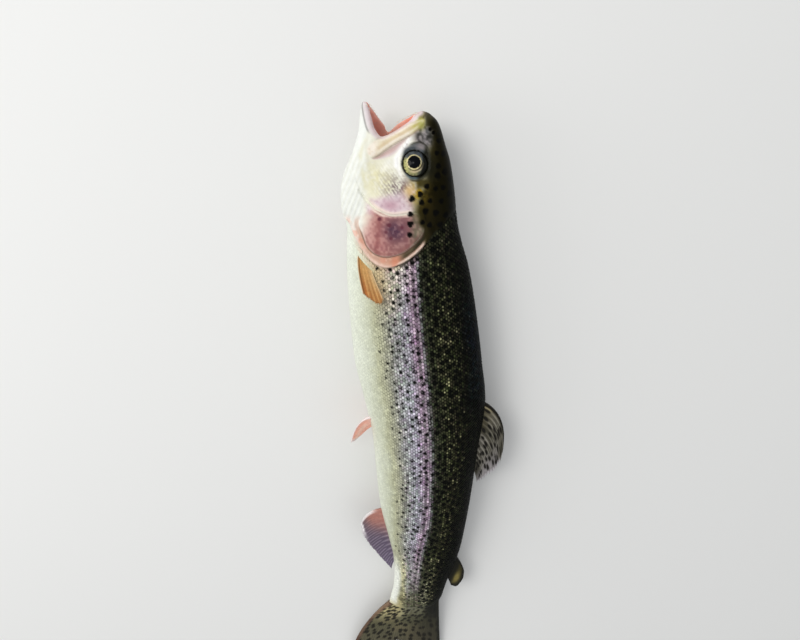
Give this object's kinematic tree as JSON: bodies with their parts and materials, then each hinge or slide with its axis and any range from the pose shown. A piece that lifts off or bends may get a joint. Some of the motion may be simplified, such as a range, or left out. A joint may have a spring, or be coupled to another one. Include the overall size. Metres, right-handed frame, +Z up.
{
  "type": "rainbow trout model",
  "caption": "Life-size still model of a freshly caught rainbow trout lying on its right flank with its mouth open, with parted head, jaws, gill covers, trunk, tail and fins.",
  "frame": {"origin": "on the resting surface, under the middle of the whole fish", "axes": "+Y towards the head, +X towards the back, +Z up out of the left flank; the fish lies on its right flank on z = 0"},
  "size_m": [0.0775, 0.2996, 0.0373],
  "materials": {
    "skin": "wet scaled fish skin, dark olive back, silver flank with a pink band, black spots",
    "pale_skin": "wet smooth pale skin",
    "mouth_lining": "wet pink mouth lining",
    "fin": "wet rayed fin membrane",
    "eye": "glossy, gold iris round a black pupil"
  },
  "bodies": {
    "root": {"head": "skin", "lower_jaw": "pale_skin", "throat": "pale_skin", "tongue": "mouth_lining", "gill_cover_L": "skin", "gill_cover_R": "skin", "maxilla_L": "pale_skin", "maxilla_R": "pale_skin", "eye_L": "eye", "eye_R": "eye", "trunk": "skin", "tail": "skin", "caudal_fin": "fin", "dorsal_fin": "fin", "adipose_fin": "fin", "anal_fin": "fin", "pectoral_fin_L": "fin", "pectoral_fin_R": "fin", "pelvic_fin_L": "fin", "pelvic_fin_R": "fin"}
  },
  "joints": []
}
